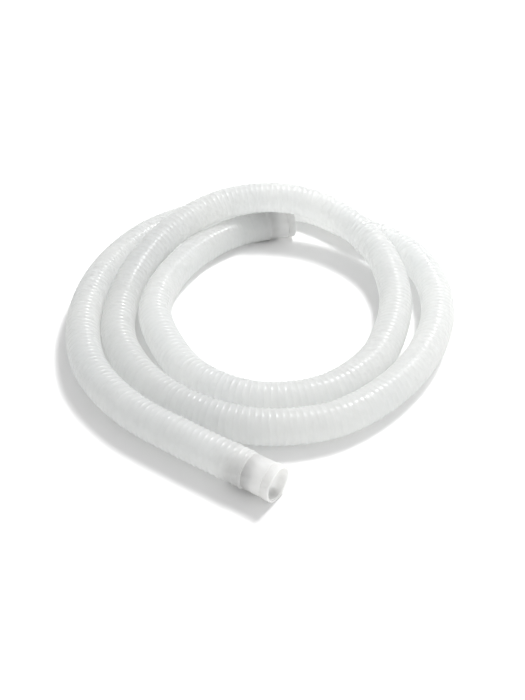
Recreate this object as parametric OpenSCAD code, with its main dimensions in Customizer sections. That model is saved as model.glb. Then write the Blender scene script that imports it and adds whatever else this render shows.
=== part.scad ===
// Pool vacuum hose: a flat spiral of ribbed hose with a swivel cuff at each end.
// Units are millimetres, +Z is up and the hose lies on z = 0.

/* [Hose] */
// Outside diameter over the ribs
hose_d = 39; // [38:0.5:40]
// Thickness from the inside to the top of the ribs
hose_wall = 2.3; // [1.8:0.1:2.6]

/* [Cuff] */
// Outside diameter of the cuff's smooth band
cuff_d = 36; // [35.6:0.2:38]
// Bore that takes a 32 mm pipe or nozzle
socket_d = 32; // [31:0.1:32.6]
// Length of the cuff from its back face to its mouth
cuff_l = 32.8; // [30:0.2:36]
// Outside diameter of the mouth ring
lip_d = 37.4; // [37:0.2:39]
// Length of the mouth ring
lip_l = 9.8; // [8:0.2:12]

/* [Ferrule] */
// Bore of the ferrule
ferrule_bore = 28.4; // [27:0.2:29]
// Length of the ferrule inside the hose
spigot_l = 16; // [12:1:18]
// Length of the nose that the cuff turns on
nose_l = 10.8; // [10:0.2:12]
// Outside diameter of the nose
nose_d = 32.8; // [32.6:0.1:33.2]
// Radial clearance between the nose and the cuff
running_gap = 0.08; // [0.03:0.01:0.1]

/* [Rings] */
// Width of the seal ring
seal_w = 2; // [1.6:0.1:2.4]
// Width of the snap ring
snap_w = 1; // [0.8:0.1:1.4]

/* [Hidden] */
$fn = 96;
hose_r = hose_d / 2;
hose_sides = 12;
hose_in_r = hose_r - hose_wall;
// The inside polygon's corners, so that its flats lie on the true inside
hose_in_corner_r = hose_in_r / cos(180 / hose_sides);
end_straight = 18;
end_gap = 0.3;
flange_r = hose_r - 1.2;
flange_l = 1.2;
cuff_back = flange_l + end_gap;
mouth_u = cuff_back + cuff_l;
nose_end = flange_l + nose_l;
stop_u = nose_end + end_gap;
nose_r = nose_d / 2;
groove_r = nose_r - 1;
counterbore_r = nose_r + running_gap;
seal_u = flange_l + 2.2;
seal_r = nose_r + running_gap / 2;
snap_u = nose_end - 2.6;
snap_r = nose_r + 0.55;
snap_room_r = snap_r + 0.25;
front_tube_r = lip_d / 2 - 1.5;
lip_u = mouth_u - lip_l;
lip_groove_l = 0.5;
round_r = 0.8;

// The route of the hose's centre line, one point every two diameters.
// The first and last points only set the directions of the two ends.
centre_y = -5.5;
route_z = hose_r;
route = [
    [36, -275, route_z],
    [-28, -232, route_z],
    [-77, -199, route_z],
    [-137, -153, route_z],
    [-183, -91, route_z],
    [-204, -18, route_z],
    [-204, 57, route_z],
    [-185, 130, route_z],
    [-146, 196, route_z],
    [-85, 242, route_z],
    [-12, 263, route_z],
    [61, 263, route_z],
    [126, 208, route_z],
    [181, 155, route_z],
    [205, 83, route_z],
    [202, 8, route_z],
    [177, -62, route_z],
    [133, -124, route_z],
    [73, -169, route_z],
    [-3, -180, route_z],
    [-74, -153, route_z],
    [-128, -102, route_z],
    [-161, -33, route_z],
    [-165, 47, 20],
    [-146, 116, 30],
    [-108, 173, 43],
    [-48, 214, 55],
    [27, 221, 59],
    [92, 198, 49],
    [142, 137, 34],
    [158, 63, 23],
    [148, -8, route_z],
    [118, -78, route_z],
    [62, -128, route_z],
    [-11, -136, route_z],
    [-75, -97, route_z],
    [-116, -20, route_z],
    [-125, 41, route_z],
    [-106, 111, route_z],
    [-67, 172, route_z],
    [-11, 212, route_z],
    [56, 207, route_z]
];

// Centre line: a smooth curve through the route's points
last = len(route) - 1;
moved = [for (p = route) p + [0, centre_y, 0]];
function unit(v) = v / norm(v);
function spline(a, b, c, d, t) =
    (2 * b + (c - a) * t + (2 * a - 5 * b + 4 * c - d) * t * t
        + (3 * b - a - 3 * c + d) * t * t * t) / 2;
outer_axis = unit(moved[0] - moved[2]);
inner_axis = unit(moved[last] - moved[last - 2]);
outer_end = moved[1] + end_straight * outer_axis;
inner_end = moved[last - 1] + end_straight * inner_axis;
rings_per_span = 2;
// The hose never sinks below the floor it lies on
function lifted(p) = [p[0], p[1], max(p[2], route_z)];
centre_line = [
    outer_end,
    for (i = [1 : last - 2], k = [0 : rings_per_span - 1])
        lifted(spline(moved[i - 1], moved[i], moved[i + 1], moved[i + 2], k / rings_per_span)),
    moved[last - 1],
    inner_end
];
rings = len(centre_line);
// The hose is one piece. Its solid is in six lengths that meet face to face: a short straight one
// at each end, a second short one next to the inner end, and one for each turn of the coil.
function ring_at(route_point) = 1 + rings_per_span * (route_point - 1);
middle_turn_starts = 19;
inner_turn_starts = 34;
outer_end_rings = [0, ring_at(1)];
outer_turn_rings = [ring_at(1), ring_at(middle_turn_starts)];
middle_turn_rings = [ring_at(middle_turn_starts), ring_at(inner_turn_starts)];
inner_turn_rings = [ring_at(inner_turn_starts), ring_at(last - 1) - 1];
inner_lead_rings = [ring_at(last - 1) - 1, ring_at(last - 1)];
inner_end_rings = [ring_at(last - 1), rings - 1];

// Direction of the centre line at each ring
function along(i) =
    i == 0 ? -outer_axis
    : i == rings - 1 ? inner_axis
    : unit(centre_line[i + 1] - centre_line[i - 1]);

// One ring of points, with a corner straight down where the hose lies flat
function ring(i, r) =
    let (t = along(i), side = unit(cross([0, 0, 1], t)), up = cross(t, side))
    [for (k = [0 : hose_sides - 1])
        centre_line[i] + r * (cos(k * 360 / hose_sides) * up + sin(k * 360 / hose_sides) * side)];

// Closed hollow tube between two rings: outside rings first, then the inside rings
module tube(ends) {
    n = hose_sides;
    spans = ends[1] - ends[0];
    points = [
        for (i = [ends[0] : ends[1]]) each ring(i, hose_r),
        for (i = [ends[0] : ends[1]]) each ring(i, hose_in_corner_r)
    ];
    inside = (spans + 1) * n;
    finish = spans * n;
    faces = [
        for (i = [0 : spans - 1], k = [0 : n - 1])
            let (a = i * n + k, b = i * n + (k + 1) % n) each [[a, a + n, b], [b, a + n, b + n]],
        for (i = [0 : spans - 1], k = [0 : n - 1])
            let (a = inside + i * n + k, b = inside + i * n + (k + 1) % n)
            each [[a, b, a + n], [b, b + n, a + n]],
        for (k = [0 : n - 1])
            let (a = k, b = (k + 1) % n) each [[a, b, inside + a], [b, inside + b, inside + a]],
        for (k = [0 : n - 1])
            let (a = finish + k, b = finish + (k + 1) % n)
            each [[a, inside + a, b], [b, inside + a, inside + b]]
    ];
    polyhedron(points, faces, convexity = 12);
}

// Local +Z becomes the end's axis, measured outward from the hose's end
module at_end(end, axis) {
    translate(end)
        rotate([0, acos(axis[2]), atan2(axis[1], axis[0])])
            children();
}

// A turned ring between two radii and two heights
module turned(r_in, r_out, u0, u1) {
    rotate_extrude()
        translate([r_in, u0])
            square([r_out - r_in, u1 - u0]);
}

module ferrule() {
    rotate_extrude()
        polygon([
            [ferrule_bore / 2, -spigot_l],
            [hose_in_r - round_r, -spigot_l],
            [hose_in_r, round_r - spigot_l],
            [hose_in_r, 0],
            [flange_r, 0],
            [flange_r, flange_l],
            [nose_r, flange_l],
            [nose_r, seal_u],
            [groove_r, seal_u],
            [groove_r, seal_u + seal_w],
            [nose_r, seal_u + seal_w],
            [nose_r, snap_u],
            [groove_r, snap_u],
            [groove_r, snap_u + snap_w],
            [nose_r, snap_u + snap_w],
            [nose_r, nose_end - round_r / 2],
            [nose_r - round_r / 2, nose_end],
            [ferrule_bore / 2, nose_end]
        ]);
}

module seal_ring() {
    shoulder = (seal_r - groove_r) / 3;
    rotate_extrude()
        polygon([
            [groove_r, seal_u],
            [seal_r - shoulder, seal_u],
            [seal_r, seal_u + shoulder],
            [seal_r, seal_u + seal_w - shoulder],
            [seal_r - shoulder, seal_u + seal_w],
            [groove_r, seal_u + seal_w]
        ]);
}

module snap_ring() {
    turned(groove_r, snap_r, snap_u, snap_u + snap_w);
}

module cuff() {
    band_r = cuff_d / 2;
    rotate_extrude()
        polygon([
            [counterbore_r, cuff_back],
            [band_r - round_r, cuff_back],
            [band_r, cuff_back + round_r],
            [band_r, lip_u - lip_groove_l],
            [front_tube_r, lip_u - lip_groove_l],
            [front_tube_r, mouth_u - round_r],
            [socket_d / 2, mouth_u - round_r],
            [socket_d / 2, stop_u],
            [counterbore_r, stop_u],
            [counterbore_r, snap_u + snap_w + end_gap],
            [snap_room_r, snap_u + snap_w + end_gap],
            [snap_room_r, snap_u - end_gap],
            [counterbore_r, snap_u - end_gap]
        ]);
}

module mouth_ring() {
    lip_r = lip_d / 2;
    rotate_extrude()
        polygon([
            [front_tube_r, lip_u],
            [lip_r - round_r, lip_u],
            [lip_r, lip_u + round_r],
            [lip_r, mouth_u - round_r],
            [lip_r - round_r, mouth_u],
            [front_tube_r, mouth_u]
        ]);
}

module hose_outer_end() {
    color([0.93, 0.94, 0.93])
        tube(outer_end_rings);
}

module hose_outer_turn() {
    color([0.93, 0.94, 0.93])
        tube(outer_turn_rings);
}

module hose_middle_turn() {
    color([0.93, 0.94, 0.93])
        tube(middle_turn_rings);
}

module hose_inner_turn() {
    color([0.93, 0.94, 0.93])
        tube(inner_turn_rings);
}

module hose_inner_lead() {
    color([0.93, 0.94, 0.93])
        tube(inner_lead_rings);
}

module hose_inner_end() {
    color([0.93, 0.94, 0.93])
        tube(inner_end_rings);
}

module outer_ferrule() {
    color([0.9, 0.9, 0.9])
        at_end(outer_end, outer_axis) ferrule();
}

module outer_seal_ring() {
    color([0.12, 0.12, 0.12])
        at_end(outer_end, outer_axis) seal_ring();
}

module outer_snap_ring() {
    color([0.8, 0.8, 0.82])
        at_end(outer_end, outer_axis) snap_ring();
}

module outer_cuff() {
    color([0.95, 0.95, 0.95])
        at_end(outer_end, outer_axis) cuff();
}

module outer_mouth_ring() {
    color([0.95, 0.95, 0.95])
        at_end(outer_end, outer_axis) mouth_ring();
}

module inner_ferrule() {
    color([0.9, 0.9, 0.9])
        at_end(inner_end, inner_axis) ferrule();
}

module inner_seal_ring() {
    color([0.12, 0.12, 0.12])
        at_end(inner_end, inner_axis) seal_ring();
}

module inner_snap_ring() {
    color([0.8, 0.8, 0.82])
        at_end(inner_end, inner_axis) snap_ring();
}

module inner_cuff() {
    color([0.95, 0.95, 0.95])
        at_end(inner_end, inner_axis) cuff();
}

module inner_mouth_ring() {
    color([0.95, 0.95, 0.95])
        at_end(inner_end, inner_axis) mouth_ring();
}

hose_outer_end();
hose_outer_turn();
hose_middle_turn();
hose_inner_turn();
hose_inner_lead();
hose_inner_end();
outer_ferrule();
outer_seal_ring();
outer_snap_ring();
outer_cuff();
outer_mouth_ring();
inner_ferrule();
inner_seal_ring();
inner_snap_ring();
inner_cuff();
inner_mouth_ring();
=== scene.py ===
"""Pool vacuum hose: a ribbed translucent hose in a flat spiral, with a swivel cuff at each end.

Everything is in metres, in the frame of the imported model, with +Z up and the floor at z = 0.
"""

import math
from bisect import bisect_left

import bpy
from mathutils import Matrix, Vector


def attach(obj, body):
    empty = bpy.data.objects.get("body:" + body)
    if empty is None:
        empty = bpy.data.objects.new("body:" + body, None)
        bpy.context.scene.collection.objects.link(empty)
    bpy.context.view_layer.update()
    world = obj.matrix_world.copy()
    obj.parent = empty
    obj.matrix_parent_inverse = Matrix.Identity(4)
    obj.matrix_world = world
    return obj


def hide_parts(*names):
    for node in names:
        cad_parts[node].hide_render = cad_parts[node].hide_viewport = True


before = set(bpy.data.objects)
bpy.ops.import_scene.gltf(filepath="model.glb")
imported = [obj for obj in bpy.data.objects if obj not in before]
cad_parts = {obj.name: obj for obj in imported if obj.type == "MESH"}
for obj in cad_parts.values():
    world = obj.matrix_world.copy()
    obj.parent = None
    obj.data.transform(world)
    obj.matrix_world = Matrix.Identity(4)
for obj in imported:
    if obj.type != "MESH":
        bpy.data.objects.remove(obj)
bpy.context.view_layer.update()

MM = 0.001
UP = Vector((0, 0, 1))

# Hose
HOSE_R = 19.5 * MM
HOSE_IN_R = 17.2 * MM
END_STRAIGHT = 18 * MM
RIB_PITCH = 6.7 * MM
RIB_DEPTH = 0.75 * MM
RIB_SHARPNESS = 5

ROWS_PER_RIB = 8
RIBS_PER_BORE_ROW = 4
SIDES = 24
MESH_STEPS = 12
PATH_STEPS = 4

# Ferrule, cuff and mouth ring, measured along each end's axis from the hose's end
FERRULE_BORE_R = 14.2 * MM
SPIGOT_L = 16 * MM
SPIGOT_TAPER, SPIGOT_TAPER_L = 0.6 * MM, 2 * MM
FLANGE_R = 18.3 * MM
FLANGE_L = 1.2 * MM
NOSE_R = 16.4 * MM
NOSE_END = 12.0 * MM
GROOVE_R = 15.4 * MM
SEAL_U, SEAL_W = 3.4 * MM, 2.0 * MM
SNAP_U, SNAP_W = 9.4 * MM, 1.0 * MM
CUFF_BACK = 1.5 * MM
MOUTH_U = 34.3 * MM
BAND_R = 18.0 * MM
SOCKET_R = 16.0 * MM
STOP_U = 12.3 * MM
COUNTERBORE_R = 16.48 * MM
SNAP_ROOM_R = 17.2 * MM
FRONT_TUBE_R = 17.2 * MM
LIP_U = 24.5 * MM
LIP_R = 18.7 * MM
LIP_GROOVE_L = 0.5 * MM
GAP = 0.3 * MM

# How finely those pieces are turned, and how far their corners are rounded
TURNED_SIDES = 96
FERRULE_ROUNDING = 0.2 * MM
CUFF_ROUNDING = 0.4 * MM
LIP_ROUNDING = 0.7 * MM
ROUNDING_STEPS = 3
SHARP_CORNER = math.radians(25)

# The hose's route, the same points as in the CAD model. The first and last only aim the ends.
# ROUTE_Z is the height of a stretch that lies on the floor, and CENTRE_Y centres the coil.
CENTRE_Y = -0.0055
ROUTE_Z = HOSE_R
ROUTE = [
    (0.036, -0.275, ROUTE_Z),
    (-0.028, -0.232, ROUTE_Z),
    (-0.077, -0.199, ROUTE_Z),
    (-0.137, -0.153, ROUTE_Z),
    (-0.183, -0.091, ROUTE_Z),
    (-0.204, -0.018, ROUTE_Z),
    (-0.204, 0.057, ROUTE_Z),
    (-0.185, 0.130, ROUTE_Z),
    (-0.146, 0.196, ROUTE_Z),
    (-0.085, 0.242, ROUTE_Z),
    (-0.012, 0.263, ROUTE_Z),
    (0.061, 0.263, ROUTE_Z),
    (0.126, 0.208, ROUTE_Z),
    (0.181, 0.155, ROUTE_Z),
    (0.205, 0.083, ROUTE_Z),
    (0.202, 0.008, ROUTE_Z),
    (0.177, -0.062, ROUTE_Z),
    (0.133, -0.124, ROUTE_Z),
    (0.073, -0.169, ROUTE_Z),
    (-0.003, -0.180, ROUTE_Z),
    (-0.074, -0.153, ROUTE_Z),
    (-0.128, -0.102, ROUTE_Z),
    (-0.161, -0.033, ROUTE_Z),
    (-0.165, 0.047, 0.020),
    (-0.146, 0.116, 0.030),
    (-0.108, 0.173, 0.043),
    (-0.048, 0.214, 0.055),
    (0.027, 0.221, 0.059),
    (0.092, 0.198, 0.049),
    (0.142, 0.137, 0.034),
    (0.158, 0.063, 0.023),
    (0.148, -0.008, ROUTE_Z),
    (0.118, -0.078, ROUTE_Z),
    (0.062, -0.128, ROUTE_Z),
    (-0.011, -0.136, ROUTE_Z),
    (-0.075, -0.097, ROUTE_Z),
    (-0.116, -0.020, ROUTE_Z),
    (-0.125, 0.041, ROUTE_Z),
    (-0.106, 0.111, ROUTE_Z),
    (-0.067, 0.172, ROUTE_Z),
    (-0.011, 0.212, ROUTE_Z),
    (0.056, 0.207, ROUTE_Z),
]
POINTS = [Vector(p) + Vector((0, CENTRE_Y, 0)) for p in ROUTE]
OUTER_AXIS = (POINTS[0] - POINTS[2]).normalized()
INNER_AXIS = (POINTS[-1] - POINTS[-3]).normalized()
OUTER_END = POINTS[1] + END_STRAIGHT * OUTER_AXIS
INNER_END = POINTS[-2] + END_STRAIGHT * INNER_AXIS


def spline(a, b, c, d, t):
    """The smooth curve between b and c, as in the CAD model, never lower than on the floor."""
    p = (2 * b + (c - a) * t + (2 * a - 5 * b + 4 * c - d) * t**2 + (3 * b - a - 3 * c + d) * t**3) / 2
    p.z = max(p.z, ROUTE_Z)
    return p


def centre_line(steps):
    """Points along the hose's centre line, with this many to each span of the route."""
    line = [OUTER_END]
    for i in range(1, len(POINTS) - 2):
        line += [spline(*POINTS[i - 1:i + 3], k / steps) for k in range(steps)]
    return line + [POINTS[-2], INNER_END]


def measured(line):
    """How far along the line each of its points lies."""
    far = [0.0]
    for a, b in zip(line, line[1:]):
        far.append(far[-1] + (b - a).length)
    return far


# Camera, in front of the coil and looking down at it
CAMERA_TARGET = Vector((0, -0.0335, 0))
CAMERA_ELEVATION = math.radians(37.5)
CAMERA_DISTANCE = 1.117
CAMERA_LENS = 50.4
CAMERA_SENSOR = 36

camera_data = bpy.data.cameras.new("camera")
camera_data.sensor_fit = "VERTICAL"
camera_data.sensor_height = CAMERA_SENSOR
camera_data.lens = CAMERA_LENS
camera = bpy.data.objects.new("camera", camera_data)
bpy.context.scene.collection.objects.link(camera)
away = Vector((0, -math.cos(CAMERA_ELEVATION), math.sin(CAMERA_ELEVATION)))
camera.location = CAMERA_TARGET + CAMERA_DISTANCE * away
camera.rotation_euler = (math.pi / 2 - CAMERA_ELEVATION, 0, 0)
bpy.context.scene.camera = camera


# Materials
GRAIN_HEIGHT = 0.1 * MM
SOAK_BY_COLOUR = (1.0, 1.0, 0.95)


def nodes_of(name):
    """A new material, its node tree and its surface shader."""
    material = bpy.data.materials.new(name)
    material.use_nodes = True
    tree = material.node_tree
    return material, tree, tree.nodes["Principled BSDF"]


def add(tree, kind, **values):
    """A node with these settings and these values on its sockets."""
    node = tree.nodes.new(kind)
    for key, value in values.items():
        if key in node.inputs:
            node.inputs[key].default_value = value
        else:
            setattr(node, key, value)
    return node


def grain(tree, shader, scale, strength):
    """Fine moulded grain as a bump. Returns the texture coordinates it uses."""
    coords = add(tree, "ShaderNodeTexCoord")
    noise = add(tree, "ShaderNodeTexNoise", Scale=scale, Detail=4.0)
    bump = add(tree, "ShaderNodeBump", Strength=strength, Distance=GRAIN_HEIGHT)
    tree.links.new(coords.outputs["Object"], noise.inputs["Vector"])
    tree.links.new(noise.outputs["Fac"], bump.inputs["Height"])
    tree.links.new(bump.outputs["Normal"], shader.inputs["Normal"])
    return coords


def mottled(tree, shader, coords, scale, low, high):
    """Base colour that drifts between two near tones. Returns the ramp that gives it."""
    noise = add(tree, "ShaderNodeTexNoise", Scale=scale, Detail=2.0)
    ramp = add(tree, "ShaderNodeValToRGB")
    ramp.color_ramp.elements[0].position = 0.35
    ramp.color_ramp.elements[1].position = 0.65
    ramp.color_ramp.elements[0].color = (*low, 1)
    ramp.color_ramp.elements[1].color = (*high, 1)
    tree.links.new(coords.outputs["Object"], noise.inputs["Vector"])
    tree.links.new(noise.outputs["Fac"], ramp.inputs["Fac"])
    tree.links.new(ramp.outputs["Color"], shader.inputs["Base Color"])
    return ramp


def uneven_gloss(tree, shader, coords, scale, low, high):
    """Roughness that varies a little over the surface."""
    noise = add(tree, "ShaderNodeTexNoise", Scale=scale, Detail=3.0)
    spread = add(tree, "ShaderNodeMapRange")
    spread.inputs["To Min"].default_value = low
    spread.inputs["To Max"].default_value = high
    tree.links.new(coords.outputs["Object"], noise.inputs["Vector"])
    tree.links.new(noise.outputs["Fac"], spread.inputs["Value"])
    tree.links.new(spread.outputs["Result"], shader.inputs["Roughness"])


def translucent_plastic(name, low, high, depth, rough, grain_strength, through):
    """Milky plastic that light soaks into, and that lets a share of it through the wall."""
    material, tree, shader = nodes_of(name)
    coords = grain(tree, shader, scale=900, strength=grain_strength)
    tone = mottled(tree, shader, coords, scale=14, low=low, high=high)
    uneven_gloss(tree, shader, coords, scale=60, low=rough - 0.05, high=rough + 0.07)
    passed = add(tree, "ShaderNodeBsdfTranslucent")
    mix = add(tree, "ShaderNodeMixShader", Fac=through)
    tree.links.new(tone.outputs["Color"], passed.inputs["Color"])
    tree.links.new(shader.outputs["BSDF"], mix.inputs[1])
    tree.links.new(passed.outputs["BSDF"], mix.inputs[2])
    tree.links.new(mix.outputs["Shader"], tree.nodes["Material Output"].inputs["Surface"])
    shader.inputs["Subsurface Weight"].default_value = 1.0
    shader.inputs["Subsurface Radius"].default_value = SOAK_BY_COLOUR
    shader.inputs["Subsurface Scale"].default_value = depth
    shader.inputs["IOR"].default_value = 1.5
    shader.inputs["Specular IOR Level"].default_value = 0.8
    return material


def dull_plastic(name, low, high, rough):
    """Opaque moulded plastic or rubber."""
    material, tree, shader = nodes_of(name)
    coords = grain(tree, shader, scale=1200, strength=0.25)
    mottled(tree, shader, coords, scale=40, low=low, high=high)
    uneven_gloss(tree, shader, coords, scale=90, low=rough - 0.06, high=rough + 0.06)
    return material


hose_plastic = translucent_plastic(
    "hose_plastic", low=(0.955, 0.96, 0.958), high=(0.975, 0.978, 0.973),
    depth=9 * MM, rough=0.15, grain_strength=0.06, through=0.75,
)
cuff_plastic = translucent_plastic(
    "cuff_plastic", low=(0.955, 0.957, 0.952), high=(0.975, 0.975, 0.97),
    depth=5 * MM, rough=0.28, grain_strength=0.08, through=0.70,
)
ferrule_plastic = translucent_plastic(
    "ferrule_plastic", low=(0.95, 0.95, 0.945), high=(0.97, 0.97, 0.965),
    depth=4 * MM, rough=0.42, grain_strength=0.12, through=0.5,
)
seal_rubber = dull_plastic(
    "seal_rubber", low=(0.025, 0.025, 0.027), high=(0.045, 0.045, 0.045), rough=0.6,
)
snap_plastic = dull_plastic(
    "snap_plastic", low=(0.58, 0.59, 0.60), high=(0.66, 0.67, 0.68), rough=0.4,
)


# Meshes
def new_piece(name, vertices, faces, material, body, slot):
    """A smooth-shaded mesh object that rides on a body."""
    mesh = bpy.data.meshes.new(name)
    mesh.from_pydata(vertices, [], faces)
    mesh.validate()
    mesh.shade_smooth()
    mesh.materials.append(material)
    piece = bpy.data.objects.new(name, mesh)
    bpy.context.scene.collection.objects.link(piece)
    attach(piece, body)
    return piece


def section(line, far, s):
    """The centre, up and side directions at a distance along the hose."""
    span = min(max(bisect_left(far, s) - 1, 0), len(far) - 2)
    t = (s - far[span]) / (far[span + 1] - far[span])
    centre = line[span].lerp(line[span + 1], t)
    before = line[max(span - 1, 0)]
    start = (line[span + 1] - before).normalized()
    after = line[min(span + 2, len(line) - 1)]
    finish = (after - line[span]).normalized()
    along = start.lerp(finish, t).normalized()
    if s < END_STRAIGHT:
        along = -OUTER_AXIS
    elif s > far[-1] - END_STRAIGHT:
        along = INNER_AXIS
    side = UP.cross(along).normalized()
    return centre, along.cross(side), side


def ribbed(s, turn):
    """The outside radius at a distance along the hose and a share of a turn about it."""
    wave = 0.5 - 0.5 * math.cos(2 * math.pi * (s / RIB_PITCH + turn))
    return HOSE_R - RIB_DEPTH * (1 - wave**RIB_SHARPNESS)


def plain(s, turn):
    """The bore's radius, the same everywhere."""
    return HOSE_IN_R


def rings(line, far, rows, radius_at):
    """Rings of vertices from one end of the hose to the other, with that many rows between."""
    vertices = []
    for row in range(rows + 1):
        s = far[-1] * row / rows
        centre, up, side = section(line, far, s)
        for k in range(SIDES):
            angle = 2 * math.pi * k / SIDES
            out = math.cos(angle) * up + math.sin(angle) * side
            vertices.append(centre + radius_at(s, k / SIDES) * out)
    return vertices


def wall(first, rows, faces_in):
    """The faces between rings of vertices, from the ring that starts at the first vertex."""
    quads = []
    for row in range(rows):
        for k in range(SIDES):
            a = first + row * SIDES + k
            b = first + row * SIDES + (k + 1) % SIDES
            quad = (a, a + SIDES, b + SIDES, b)
            quads.append(quad[::-1] if faces_in else quad)
    return quads


def hose_tube():
    """The whole hose: a spiral-ribbed outside and a plain bore, closed at both ends."""
    line = centre_line(MESH_STEPS)
    far = measured(line)
    rows = round(far[-1] / RIB_PITCH * ROWS_PER_RIB)
    bore_rows = rows // (ROWS_PER_RIB * RIBS_PER_BORE_ROW)
    vertices = rings(line, far, rows, ribbed) + rings(line, far, bore_rows, plain)

    last_outside = rows * SIDES
    bore = last_outside + SIDES
    last_bore = bore + bore_rows * SIDES
    faces = wall(0, rows, False) + wall(bore, bore_rows, True)
    for k in range(SIDES):
        n = (k + 1) % SIDES
        faces.append((k, n, bore + n, bore + k))
        faces.append((last_outside + n, last_outside + k, last_bore + k, last_bore + n))
    return vertices, faces, far[-1]


def turned(outline, end, axis):
    """Vertices and faces of an outline of (distance, radius) turned about an end's axis."""
    turn = UP.rotation_difference(axis).to_matrix().to_4x4()
    place = Matrix.Translation(end) @ turn
    vertices = []
    for k in range(TURNED_SIDES):
        angle = 2 * math.pi * k / TURNED_SIDES
        for u, r in outline:
            vertices.append(place @ Vector((r * math.cos(angle), r * math.sin(angle), u)))
    n = len(outline)
    faces = []
    for k in range(TURNED_SIDES):
        this, following = k * n, (k + 1) % TURNED_SIDES * n
        for i in range(n):
            j = (i + 1) % n
            faces.append((this + i, this + j, following + j, following + i))
    return vertices, faces


def softened(piece, width):
    """Rounds a turned piece's sharp corners, and evens out the shading beside them."""
    bevel = piece.modifiers.new("rounded", "BEVEL")
    bevel.width = width
    bevel.segments = ROUNDING_STEPS
    bevel.limit_method = "ANGLE"
    bevel.angle_limit = SHARP_CORNER
    piece.modifiers.new("normals", "WEIGHTED_NORMAL")


# Outlines of the turned pieces, as (distance, radius)
FERRULE = [
    (-SPIGOT_L, FERRULE_BORE_R),
    (-SPIGOT_L, HOSE_IN_R - SPIGOT_TAPER),
    (-SPIGOT_L + SPIGOT_TAPER_L, HOSE_IN_R),
    (0, HOSE_IN_R),
    (0, FLANGE_R),
    (FLANGE_L, FLANGE_R),
    (FLANGE_L, NOSE_R),
    (SEAL_U, NOSE_R),
    (SEAL_U, GROOVE_R),
    (SEAL_U + SEAL_W, GROOVE_R),
    (SEAL_U + SEAL_W, NOSE_R),
    (SNAP_U, NOSE_R),
    (SNAP_U, GROOVE_R),
    (SNAP_U + SNAP_W, GROOVE_R),
    (SNAP_U + SNAP_W, NOSE_R),
    (NOSE_END, NOSE_R),
    (NOSE_END, FERRULE_BORE_R),
]
CUFF = [
    (CUFF_BACK, COUNTERBORE_R),
    (CUFF_BACK, BAND_R),
    (LIP_U - LIP_GROOVE_L, BAND_R),
    (LIP_U - LIP_GROOVE_L, FRONT_TUBE_R),
    (MOUTH_U - 2 * LIP_GROOVE_L, FRONT_TUBE_R),
    (MOUTH_U - 2 * LIP_GROOVE_L, SOCKET_R),
    (STOP_U, SOCKET_R),
    (STOP_U, COUNTERBORE_R),
    (SNAP_U + SNAP_W + GAP, COUNTERBORE_R),
    (SNAP_U + SNAP_W + GAP, SNAP_ROOM_R),
    (SNAP_U - GAP, SNAP_ROOM_R),
    (SNAP_U - GAP, COUNTERBORE_R),
]
MOUTH_RING = [
    (LIP_U, FRONT_TUBE_R),
    (LIP_U, LIP_R),
    (MOUTH_U, LIP_R),
    (MOUTH_U, FRONT_TUBE_R),
]


# Pieces
hose_vertices, hose_faces, hose_length = hose_tube()
hose = new_piece("hose", hose_vertices, hose_faces, hose_plastic, "hose", "hose_plastic")
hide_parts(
    "hose_outer_end", "hose_outer_turn", "hose_middle_turn",
    "hose_inner_turn", "hose_inner_lead", "hose_inner_end",
)

for name, end, axis in (("outer", OUTER_END, OUTER_AXIS), ("inner", INNER_END, INNER_AXIS)):
    ferrule = new_piece(
        name + "_ferrule_turned", *turned(FERRULE, end, axis),
        ferrule_plastic, "hose", "ferrule_plastic",
    )
    softened(ferrule, FERRULE_ROUNDING)
    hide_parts(name + "_ferrule")
    cuff = new_piece(
        name + "_cuff_turned", *turned(CUFF, end, axis),
        cuff_plastic, name + "_swivel", "cuff_plastic",
    )
    softened(cuff, CUFF_ROUNDING)
    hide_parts(name + "_cuff")
    lip = new_piece(
        name + "_mouth_ring_turned", *turned(MOUTH_RING, end, axis),
        cuff_plastic, name + "_swivel", "cuff_plastic",
    )
    softened(lip, LIP_ROUNDING)
    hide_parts(name + "_mouth_ring")
    for part, material in (("_seal_ring", seal_rubber), ("_snap_ring", snap_plastic)):
        node = bpy.data.objects[name + part]
        node.data.materials.clear()
        node.data.materials.append(material)

centre_line(PATH_STEPS)

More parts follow.
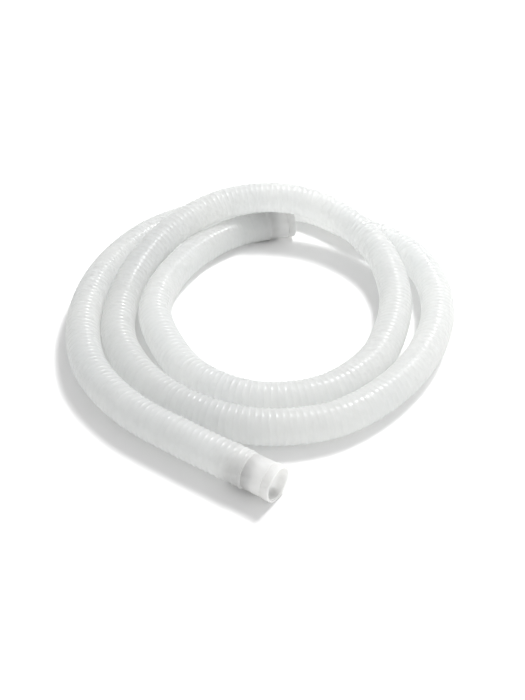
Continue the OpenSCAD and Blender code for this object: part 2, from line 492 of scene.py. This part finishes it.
# Floor
FLOOR_SIZE = 40
FLOOR_WHITE = (0.95, 0.95, 0.95, 1)
FLOOR_ROUGHNESS = 0.9
FLOOR_GLOSS = 0.1

bpy.ops.mesh.primitive_plane_add(size=FLOOR_SIZE)
floor = bpy.context.object
floor.name = "floor"
floor_material, _, floor_shader = nodes_of("floor_paper")
floor_shader.inputs["Base Color"].default_value = FLOOR_WHITE
floor_shader.inputs["Roughness"].default_value = FLOOR_ROUGHNESS
floor_shader.inputs["Specular IOR Level"].default_value = FLOOR_GLOSS
floor.data.materials.append(floor_material)

# Light: a soft lamp from behind, above and to the right, with a small one in the same direction
# for the glints on the ribs, and light all round that is weaker on the left
KEY_FROM = Vector((0.347, 0.43, 0.83)).normalized()
KEY_DISTANCE = 3.0
KEY_SIZE = 1.0
KEY_POWER = 58
GLINT_SIZE = 0.3
GLINT_POWER = 15
FILL_LEFT = 0.46
FILL_RIGHT = 0.92

for name, size, power in (("key", KEY_SIZE, KEY_POWER), ("glint", GLINT_SIZE, GLINT_POWER)):
    lamp_data = bpy.data.lights.new(name, "AREA")
    lamp_data.shape = "DISK"
    lamp_data.size = size
    lamp_data.energy = power
    lamp = bpy.data.objects.new(name, lamp_data)
    lamp.location = KEY_DISTANCE * KEY_FROM
    lamp.rotation_euler = KEY_FROM.to_track_quat("Z", "Y").to_euler()
    bpy.context.scene.collection.objects.link(lamp)

world = bpy.data.worlds.new("studio")
world.use_nodes = True
background = world.node_tree.nodes["Background"]
background.inputs["Color"].default_value = (1, 1, 1, 1)
direction = add(world.node_tree, "ShaderNodeTexCoord")
split = add(world.node_tree, "ShaderNodeSeparateXYZ")
fill = add(world.node_tree, "ShaderNodeMapRange")
fill.inputs["From Min"].default_value = -1
fill.inputs["To Min"].default_value = FILL_LEFT
fill.inputs["To Max"].default_value = FILL_RIGHT
world.node_tree.links.new(direction.outputs["Generated"], split.inputs["Vector"])
world.node_tree.links.new(split.outputs["X"], fill.inputs["Value"])
world.node_tree.links.new(fill.outputs["Result"], background.inputs["Strength"])
bpy.context.scene.world = world
bpy.context.scene.view_settings.view_transform = "Standard"
